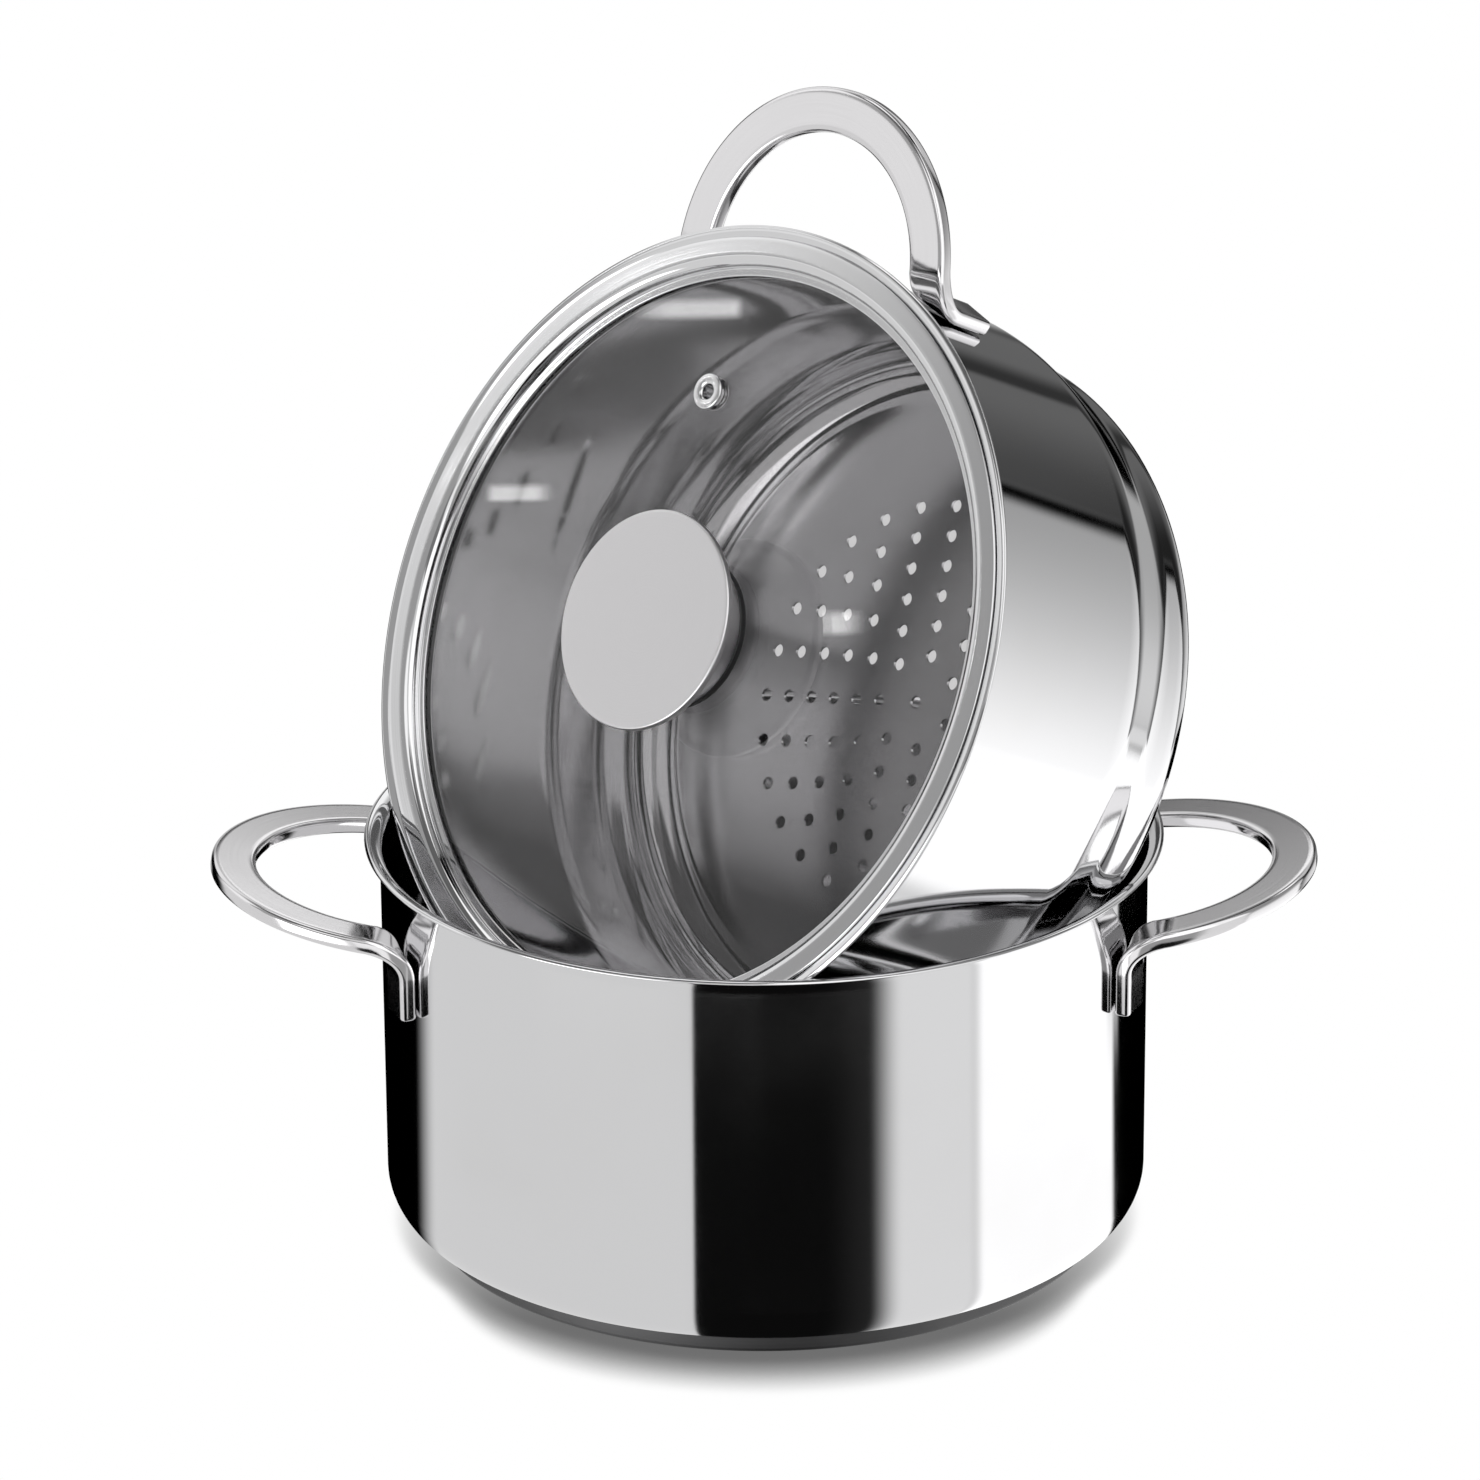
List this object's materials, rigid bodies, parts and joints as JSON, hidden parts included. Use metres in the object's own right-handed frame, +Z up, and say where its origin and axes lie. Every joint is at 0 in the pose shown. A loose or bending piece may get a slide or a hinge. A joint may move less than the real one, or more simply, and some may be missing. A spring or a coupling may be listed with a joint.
{
  "type": "pasta pot with strainer basket and lid",
  "caption": "Steel cooking pot with strap handles, a perforated strainer basket leaning in its mouth and a flat glass lid with a disc knob, for boiling, draining and steaming",
  "frame": {"origin": "on the pot's axis at the underside of its base", "axes": "+Z up along the pot's axis, +X towards the right pot handle, -Y towards the viewer of the picture"},
  "size_m": [0.3462, 0.2576, 0.3548],
  "materials": {
    "polished_steel": "mirror-polished stainless steel",
    "satin_steel": "satin stainless steel",
    "aluminium": "plain pressed aluminium disc",
    "glass": "clear flat tempered glass",
    "black_moulding": "black heat-resistant moulding",
    "silicone": "dark silicone rubber"
  },
  "bodies": {
    "pot": {"pot_body": "polished_steel", "pot_base_core": "aluminium", "pot_base_cap": "polished_steel", "pot_handle_left": "satin_steel", "pot_handle_right": "satin_steel"},
    "basket": {"basket_body": "polished_steel", "basket_handle_upper": "satin_steel", "basket_handle_lower": "satin_steel"},
    "lid": {"lid_glass": "glass", "lid_band": "polished_steel", "lid_vent_eyelet": "polished_steel", "knob_shell": "satin_steel", "knob_core": "black_moulding", "knob_insert": "satin_steel", "knob_upper_seal": "silicone", "knob_lower_seal": "silicone", "knob_washer": "satin_steel", "knob_screw": "satin_steel"}
  },
  "joints": [
    {"name": "basket_lift", "type": "slide", "parent": "pot", "child": "basket", "axis": [0, 0, 1], "range_m": [0, 0.11]},
    {"name": "lid_lift", "type": "slide", "parent": "basket", "child": "lid", "axis": [-0.4116, -0.3785, 0.829], "range_m": [0, 0.08]}
  ]
}
